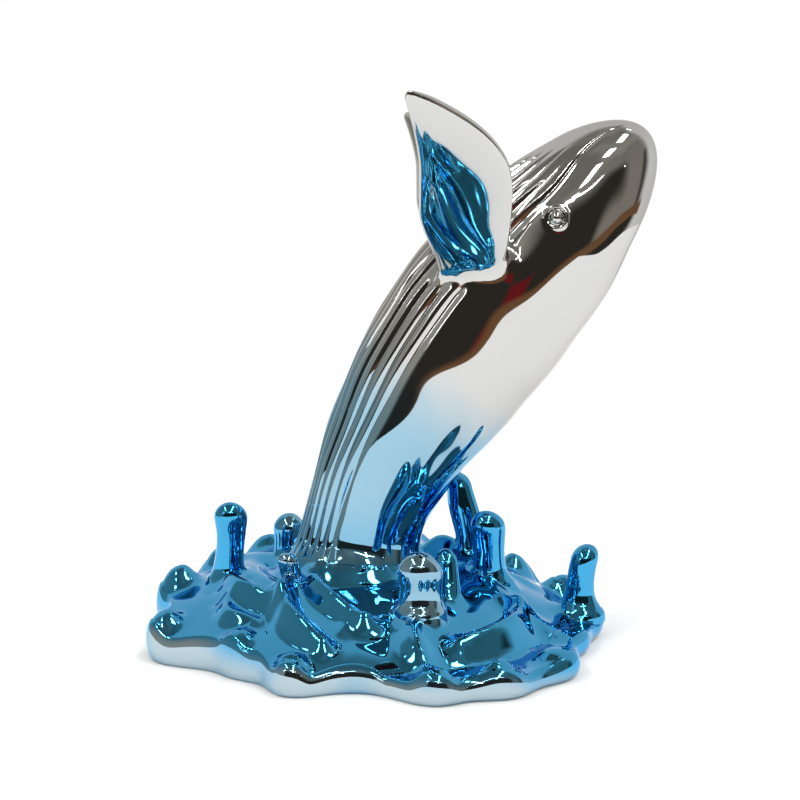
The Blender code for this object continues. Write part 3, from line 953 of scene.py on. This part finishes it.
@dataclass(frozen=True)
class PlatedLacquer:
    """Mirror plating under clear lacquer that is tinted blue from low on the body down to the water."""

    silver: Colour = (0.63, 0.63, 0.62)
    sky: Colour = (0.30, 0.52, 0.66)
    low_sky: Colour = (0.17, 0.45, 0.66)
    deep: Colour = (0.048, 0.385, 0.70)
    pale: Colour = (0.50, 0.60, 0.63)
    foot: tuple[float, float] = (-12 * MM, 22 * MM)
    body_reach: Rise = (47 * MM, 37 * MM)
    body_height: Rise = (80 * MM, 92 * MM)
    tint_slope: float = 0.62
    tint_rise: Rise = (176 * MM, 118 * MM)
    tint_drift: float = 40 * MM
    drift_scale: float = 32.0
    low_sky_rise: Rise = (85 * MM, 40 * MM)
    waterline: Rise = (40 * MM, 48 * MM)
    thinness: float = 0.9
    thin_drift: float = 50 * MM
    thin_scale: float = 13.0
    rim_height: Rise = (18 * MM, 4 * MM)
    rim_reach: Rise = (85 * MM, 98 * MM)
    rim_steepness: Rise = (0.75, 0.2)
    thin_spots: tuple[ThinSpot, ...] = (
        ThinSpot(24 * MM, -51 * MM, 17 * MM),
        ThinSpot(-43 * MM, -17 * MM, 11 * MM),
    )
    spot_softness: float = 3 * MM
    spot_height: Rise = (32 * MM, 42 * MM)
    spot_facing: Rise = (0.1, -0.5)
    roughness: float = 0.035
    coat: float = 1.0
    bare_coat: float = 0.4
    coat_ior: float = 1.24
    coat_roughness: float = 0.02
    edge: Colour = (0.30, 0.66, 0.95)
    bare_edge: Colour = (0.70, 0.69, 0.67)

    def plating(self, graph: Graph, colour: Wire | Colour, edge: Colour, coat: float) -> Wire:
        """Add a mirror plating under clear lacquer.

        Args:
            graph: The material's graph.
            colour: The plating's colour seen straight on.
            edge: Its tint seen edge on.
            coat: How much clear lacquer is on it.

        Returns:
            The shader.
        """
        inputs = {
            "Base Color": colour if isinstance(colour, Wire) else (*colour, 1.0),
            "Metallic": 1.0,
            "Roughness": self.roughness,
            "Specular Tint": (*edge, 1.0),
            "Coat Weight": coat,
            "Coat Roughness": self.coat_roughness,
            "Coat IOR": self.coat_ior,
        }
        return graph.wire(graph.node("ShaderNodeBsdfPrincipled", inputs=inputs))

    def body_share(self, graph: Graph, place: Wire) -> Wire:
        """Tell the body from the water: close round its foot, or higher than the water.

        Args:
            graph: The material's graph.
            place: The place on the casting.

        Returns:
            1 on the body and 0 on the water.
        """
        x, y, z = graph.split(place)
        away = graph.distance(x - self.foot[0], y - self.foot[1])
        return graph.math("MAXIMUM", graph.step(away, *self.body_reach), graph.step(z, *self.body_height))

    def blue(self, graph: Graph, place: Wire, on_body: Wire) -> Wire:
        """Tint the lacquer: sky blue on the body, deep blue on the water, pale where it is thin or missing.

        Args:
            graph: The material's graph.
            place: The place on the casting.
            on_body: 1 on the body and 0 on the water.

        Returns:
            The colour.
        """
        x, y, z = graph.split(place)
        body_tint = graph.blend(graph.step(z, *self.low_sky_rise), self.sky, self.low_sky)
        blue = graph.blend(on_body * graph.step(z, *self.waterline), self.deep, body_tint)
        _, facing, upright = graph.split(graph.wire(graph.node("ShaderNodeNewGeometry"), "Normal"))
        uneven = z + (graph.noise(place, self.thin_scale, 1.0) - 0.5) * self.thin_drift
        missed = graph.step(uneven, *self.rim_height) * graph.step(graph.distance(x, y), *self.rim_reach)
        missed = missed * graph.step(upright, *self.rim_steepness)
        blue = graph.blend(missed * self.thinness, blue, self.pale)
        for spot in self.thin_spots:
            close = graph.distance(x - spot.x, y - spot.y)
            thinned = graph.step(close, spot.reach, spot.reach - self.spot_softness)
            thinned = thinned * graph.step(uneven, *self.spot_height)
            thinned = thinned * graph.step(facing, *self.spot_facing)
            blue = graph.blend(thinned * self.thinness, blue, self.sky)
        return blue

    def material(self) -> bpy.types.Material:
        """Write the finish: bare silver and tinted plating, mixed by how much tint is in the lacquer.

        Returns:
            The material.
        """
        made = bpy.data.materials.new(SLOT)
        made.use_nodes = True
        graph = Graph(made.node_tree)
        place = graph.wire(graph.node("ShaderNodeTexCoord"), "Object")
        on_body = self.body_share(graph, place)
        x, _, z = graph.split(place)
        drift = (graph.noise(place, self.drift_scale) - 0.5) * self.tint_drift
        tint = graph.step(z + x * on_body * self.tint_slope + drift, *self.tint_rise)
        bare = self.plating(graph, self.silver, self.bare_edge, self.bare_coat)
        tinted = self.plating(graph, self.blue(graph, place, on_body), self.edge, self.coat)
        mixed = graph.node("ShaderNodeMixShader", inputs={0: tint, 1: bare, 2: tinted})
        graph.node("ShaderNodeOutputMaterial", inputs={"Surface": graph.wire(mixed)})
        return made


@dataclass
class Casting:
    """The whole sculpture as one closed mesh: all forms united, with their joints filled and smoothed."""

    name: str = "whale_casting"
    body: WhaleBody = field(default_factory=WhaleBody)
    water: Water = field(default_factory=Water)
    flippers: tuple[Flipper, ...] = (
        Flipper("near_flipper", 42.0, Side.NEAR),
        Flipper("far_flipper", 54.0, Side.FAR),
    )
    eyes: tuple[Eye, ...] = (Eye("near_eye", Side.NEAR), Eye("far_eye", Side.FAR))
    sprays: tuple[Spray, ...] = SPRAYS
    finish: PlatedLacquer = field(default_factory=PlatedLacquer)
    merge_distance: float = 0.02 * MM
    shortest_edge: float = 0.01 * MM
    ground: float = 0.05 * MM
    melt_rounds: int = 16
    melt_rate: float = 0.5
    same_melt: float = 0.01 * MM
    points_at_once: int = 1000

    def shells(self) -> dict[str, Shell]:
        """Build every form but the water.

        Returns:
            The shells by name.
        """
        made = {"body": self.body.build()}
        made |= {flipper.name: flipper.build(self.body) for flipper in self.flippers}
        for eye in self.eyes:
            ball, lid = eye.build(self.body)
            made |= {eye.name: ball, f"{eye.name}_lid": lid}
        made |= {f"spray_{i}": spray.build(self.water) for i, spray in enumerate(self.sprays)}
        return made

    def unite(self) -> bpy.types.Mesh:
        """Unite the water with all other forms by a Boolean.

        Returns:
            The united mesh, its faces carrying the number and melt distance of the form they came from.
        """
        forms = bpy.data.collections.new("forms")
        bpy.context.scene.collection.children.link(forms)
        for number, (name, shell) in enumerate(self.shells().items(), 1):
            forms.objects.link(shell.to_object(name, number))
            LOG.info("%s: %d points", name, len(shell.points))
        base = self.water.build().to_object("water", 0)
        LOG.info("water: %d points", len(base.data.vertices))
        bpy.context.scene.collection.objects.link(base)
        union = base.modifiers.new("union", "BOOLEAN")
        union.operation = "UNION"
        union.solver = "EXACT"
        union.operand_type = "COLLECTION"
        union.collection = forms
        united = bpy.data.meshes.new_from_object(base.evaluated_get(bpy.context.evaluated_depsgraph_get()))
        for old in [base, *forms.objects]:
            bpy.data.objects.remove(old, do_unlink=True)
        bpy.data.collections.remove(forms)
        return united

    def clean(self, mesh: bpy.types.Mesh) -> None:
        """Merge doubled points and split the faces that have more than four corners.

        Args:
            mesh: The mesh to change.
        """
        work = bmesh.new()
        work.from_mesh(mesh)
        bmesh.ops.remove_doubles(work, verts=work.verts, dist=self.merge_distance)
        bmesh.ops.dissolve_degenerate(work, edges=work.edges, dist=self.shortest_edge)
        bmesh.ops.triangulate(work, faces=[face for face in work.faces if len(face.verts) > 4])
        work.to_mesh(mesh)
        work.free()

    def joints(self, mesh: bpy.types.Mesh) -> tuple[Array, Array]:
        """Find the edges where two forms meet.

        Args:
            mesh: The united mesh.

        Returns:
            The numbers of those edges, and how far each melts: the shorter of its two forms' distances.
        """
        corners = read_values(mesh.loops, "edge_index", 1, np.int32)
        totals = read_values(mesh.polygons, "loop_total", 1, np.int32)
        reach = np.repeat(read_values(mesh.attributes["melt"].data, "value", 1, np.float32), totals)
        form = np.repeat(read_values(mesh.attributes["form"].data, "value", 1, np.int32), totals)
        lowest = np.full(len(mesh.edges), np.inf)
        highest = np.full(len(mesh.edges), -np.inf)
        shortest = np.full(len(mesh.edges), np.inf)
        np.minimum.at(lowest, corners, form)
        np.maximum.at(highest, corners, form)
        np.minimum.at(shortest, corners, reach)
        found = np.nonzero(lowest != highest)[0]
        return found, shortest[found]

    def closeness(self, points: Array, joint: Array, distance: float) -> Array:
        """Weigh points by how close they are to a joint: a smoothstep from 1 on it to 0 at a distance.

        Args:
            points: The points.
            joint: The points of the joint.
            distance: How far the joint melts.

        Returns:
            A weight for each point.
        """
        weight = np.zeros(len(points))
        for start in range(0, len(points), self.points_at_once):
            some = slice(start, start + self.points_at_once)
            gap = points[some, None, :] - joint[None, :, :]
            away = np.sqrt(np.min(np.einsum("ijk,ijk->ij", gap, gap), axis=1))
            weight[some] = 1.0 - smoothstep(0.0, distance, away)
        return weight

    def relax(self, points: Array, edges: Array, weight: Array, rounds: int) -> None:
        """Let points drift to the mean of their neighbours, a share of the way in each round.

        Args:
            points: The points, which are changed.
            edges: The pairs of points that edges join.
            weight: How much of the drift each point takes.
            rounds: How many rounds.
        """
        count = len(points)
        neighbours = np.bincount(edges.ravel(), minlength=count).astype(float)
        for _ in range(rounds):
            for axis in range(3):
                total = np.bincount(edges[:, 0], points[edges[:, 1], axis], count)
                total += np.bincount(edges[:, 1], points[edges[:, 0], axis], count)
                points[:, axis] += self.melt_rate * weight * (total / neighbours - points[:, axis])

    def melt(self, mesh: bpy.types.Mesh) -> None:
        """Fill the joints: points near a joint drift to the mean of their neighbours, outward only.

        So the sharp inner corner where two forms meet becomes the hollow curve of poured resin.

        Args:
            mesh: The united mesh.
        """
        points = read_values(mesh.vertices, "co", 3, np.float32).astype(float)
        normals = read_values(mesh.vertices, "normal", 3, np.float32).astype(float)
        edges = read_values(mesh.edges, "vertices", 2, np.int32)
        joints, reach = self.joints(mesh)
        moved = points.copy()
        for distance in np.unique(np.round(reach, 5)):
            near = np.unique(edges[joints[np.abs(reach - distance) < self.same_melt]])
            LOG.info("joints that melt %.1f mm: %d points", distance / MM, len(near))
            weight = self.closeness(points, points[near], distance)
            self.relax(moved, edges, weight, int(self.melt_rounds * distance / MM))
        drift = moved - points
        inward = np.minimum(np.einsum("ij,ij->i", drift, normals), 0.0)
        moved = moved - inward[:, None] * normals
        moved[:, 2] = np.where(points[:, 2] < self.ground, points[:, 2], moved[:, 2])
        mesh.vertices.foreach_set("co", moved.ravel())

    def dress(self, mesh: bpy.types.Mesh) -> None:
        """Give the casting its plating and make it smooth all over.

        Args:
            mesh: The casting's mesh.
        """
        mesh.polygons.foreach_set("use_smooth", np.ones(len(mesh.polygons), bool))
        mesh.update()
        mesh.materials.clear()
        mesh.materials.append(self.finish.material())

    def build(self) -> bpy.types.Object:
        """Make the casting's object.

        Returns:
            The object, dressed and linked to the scene.
        """
        mesh = self.unite()
        self.clean(mesh)
        self.melt(mesh)
        for name in ("melt", "form"):
            mesh.attributes.remove(mesh.attributes[name])
        self.dress(mesh)
        mesh.name = self.name
        casting = bpy.data.objects.new(self.name, mesh)
        bpy.context.scene.collection.objects.link(casting)
        mesh.calc_loop_triangles()
        LOG.info("%s: %d triangles", self.name, len(mesh.loop_triangles))
        return casting


@dataclass(frozen=True)
class Panel:
    """A patch of the studio's walls.

    Its middle, half width and softness are in degrees from straight behind, and its ends are heights of the
    line of sight, from -1 straight down to 1 straight up.
    """

    middle: float
    half: float
    low: float
    high: float
    tone: Colour
    soft: float = 5.0


class Run(Enum):
    """The way that a strip of light runs over the ceiling."""

    IN_DEPTH = "in depth"
    CROSSWISE = "crosswise"


@dataclass(frozen=True)
class Strip:
    """A broken line of light on the ceiling: its place, ends and half width as slopes, and its dashes."""

    run: Run
    place: float
    low: float
    high: float
    half: float
    dashes: int


@dataclass(frozen=True)
class Studio:
    """A pale floor in a white studio with a dim ceiling, and the camera where the photograph was taken."""

    floor_reach: float = 0.62
    floor_tone: Colour = (0.9, 0.9, 0.9)
    daylight: float = 0.94
    white: Colour = (1.0, 1.0, 1.0)
    room: Colour = (0.033, 0.029, 0.024)
    dimming: float = 0.22
    ceiling: Colour = (0.37, 0.352, 0.318)
    ceiling_rise: Rise = (0.28, 0.46)
    mottle: float = 0.4
    mottle_scale: float = 2.2
    mottle_rise: Rise = (0.35, 0.65)
    panels: tuple[Panel, ...] = (
        Panel(12.0, 72.0, -1.0, 0.92, (0.80, 0.79, 0.77), 18.0),
        Panel(-96.0, 40.0, -1.0, 0.80, (0.37, 0.36, 0.33), 14.0),
        Panel(-134.0, 1.6, 0.2, 0.66, (1.8, 1.8, 1.75), 1.5),
        Panel(112.0, 16.0, -0.2, 0.7, (0.26, 0.24, 0.21), 12.0),
        Panel(168.0, 7.0, -0.25, 0.02, (0.17, 0.012, 0.015)),
        Panel(180.0, 105.0, -0.30, -0.19, (0.19, 0.095, 0.045), 3.0),
    )
    panel_foot: float = 0.01
    panel_head: float = 0.04
    strips: tuple[Strip, ...] = (
        Strip(Run.IN_DEPTH, -0.62, -1.1, 0.1, 0.07, 3),
        Strip(Run.IN_DEPTH, 0.42, -2.6, 0.2, 0.085, 5),
        Strip(Run.CROSSWISE, -1.9, -2.6, 2.2, 0.035, 2),
    )
    strip_core: float = 0.6
    strip_end: float = 0.02
    strip_rise: Rise = (0.2, 0.25)
    dash_rise: Rise = (-0.35, 0.05)
    lamp: Colour = (18.0, 17.82, 17.46)
    camera_place: Place = (0.0145, -1.0347, 0.3097)
    camera_drop: float = 9.8
    lens: float = 90.0
    sensor: float = 36.0

    def walls(self, graph: Graph, way: Wire) -> Wire:
        """Tone the room round the casting: dim, with a mottled grey ceiling and panels, darker overhead.

        Args:
            graph: The world's graph.
            way: The line of sight.

        Returns:
            The tone.
        """
        x, y, z = graph.split(way)
        half_turn = FULL_TURN / 2.0
        turn = graph.math("ARCTAN2", x, y) * (half_turn / np.pi)
        mottle = graph.step(graph.noise(way, self.mottle_scale, 1.0), *self.mottle_rise)
        overhead = graph.blend(mottle * self.mottle, self.ceiling, self.room)
        tone = graph.blend(graph.step(z, *self.ceiling_rise), self.room, overhead)
        for panel in self.panels:
            away = graph.math("ABSOLUTE", graph.math("WRAP", turn - panel.middle, half_turn, -half_turn))
            share = graph.step(away, panel.half + panel.soft / 2.0, panel.half - panel.soft / 2.0)
            share = share * graph.step(z, panel.low - self.panel_foot, panel.low + self.panel_foot)
            share = share * graph.step(z, panel.high + self.panel_head, panel.high - self.panel_head)
            tone = graph.blend(share, tone, panel.tone)
        return graph.blend(graph.step(z, 0.0, 1.0) * self.dimming, tone, self.room)

    def lights(self, graph: Graph, way: Wire) -> Wire:
        """Lay the broken strips of light on the ceiling, each cut into dashes by a sine along it.

        Args:
            graph: The world's graph.
            way: The line of sight.

        Returns:
            The share of light.
        """
        x, y, z = graph.split(way)
        glow: Wire | float = 0.0
        for strip in self.strips:
            run, aside = (x / z, y / z) if strip.run is Run.CROSSWISE else (y / z, x / z)
            lit = graph.math("ABSOLUTE", aside - strip.place)
            lit = graph.step(lit, strip.half, strip.half * self.strip_core)
            lit = lit * graph.step(run, strip.low - self.strip_end, strip.low + self.strip_end)
            lit = lit * graph.step(run, strip.high + self.strip_end, strip.high - self.strip_end)
            lit = lit * graph.step(z, *self.strip_rise)
            dashes = 2.0 * np.pi * strip.dashes / (strip.high - strip.low)
            beat = graph.math("SINE", (run - strip.low) * dashes)
            glow = lit * graph.step(beat, *self.dash_rise) + glow
        return glow

    def surroundings(self) -> None:
        """Fill the world: white to the camera, even daylight to the floor, and the room to the plating."""
        world = bpy.data.worlds.new("studio")
        bpy.context.scene.world = world
        world.use_nodes = True
        graph = Graph(world.node_tree)
        way = graph.wire(graph.node("ShaderNodeTexCoord"), "Generated")
        tone = graph.blend(self.lights(graph, way), self.walls(graph, way), self.lamp)
        path = graph.node("ShaderNodeLightPath")
        daylight = tuple(part * self.daylight for part in self.white)
        tone = graph.blend(graph.wire(path, "Is Diffuse Ray"), tone, daylight)
        tone = graph.blend(graph.wire(path, "Is Camera Ray"), tone, self.white)
        shader = graph.node("ShaderNodeBackground", inputs={"Color": tone})
        graph.node("ShaderNodeOutputWorld", inputs={"Surface": graph.wire(shader)})

    def floor(self) -> bpy.types.Object:
        """Lay the floor.

        Returns:
            The floor's object.
        """
        half = self.floor_reach
        data = bpy.data.meshes.new("floor")
        corners = [(-half, -half, 0.0), (half, -half, 0.0), (half, half, 0.0), (-half, half, 0.0)]
        data.from_pydata(corners, [], [(0, 1, 2, 3)])
        material = bpy.data.materials.new("floor")
        material.use_nodes = True
        graph = Graph(material.node_tree)
        shader = graph.node("ShaderNodeBsdfDiffuse", inputs={"Color": (*self.floor_tone, 1.0)})
        graph.node("ShaderNodeOutputMaterial", inputs={"Surface": graph.wire(shader)})
        data.materials.append(material)
        made = bpy.data.objects.new("floor", data)
        bpy.context.scene.collection.objects.link(made)
        LOG.info("floor: %.2f m wide", 2.0 * half)
        return made

    def camera(self) -> None:
        """Set the camera level across and dropped a little from the horizon."""
        data = bpy.data.cameras.new("camera")
        data.lens = self.lens
        data.sensor_width = self.sensor
        made = bpy.data.objects.new("camera", data)
        made.location = self.camera_place
        made.rotation_euler = Euler((np.radians(90.0 - self.camera_drop), 0.0, 0.0))
        bpy.context.scene.collection.objects.link(made)
        bpy.context.scene.camera = made

    def build(self) -> bpy.types.Object:
        """Set up the whole studio.

        Returns:
            The floor.
        """
        self.surroundings()
        self.camera()
        bpy.context.scene.view_settings.view_transform = "Standard"
        return self.floor()


def main() -> None:
    """Build the sculpture and its studio."""
    logging.basicConfig(level=logging.INFO, format="%(message)s")
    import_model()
    casting = Casting().build()
    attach(casting, "root")
    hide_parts(NODE)
    Studio().build()


if __name__ == "__main__":
    main()
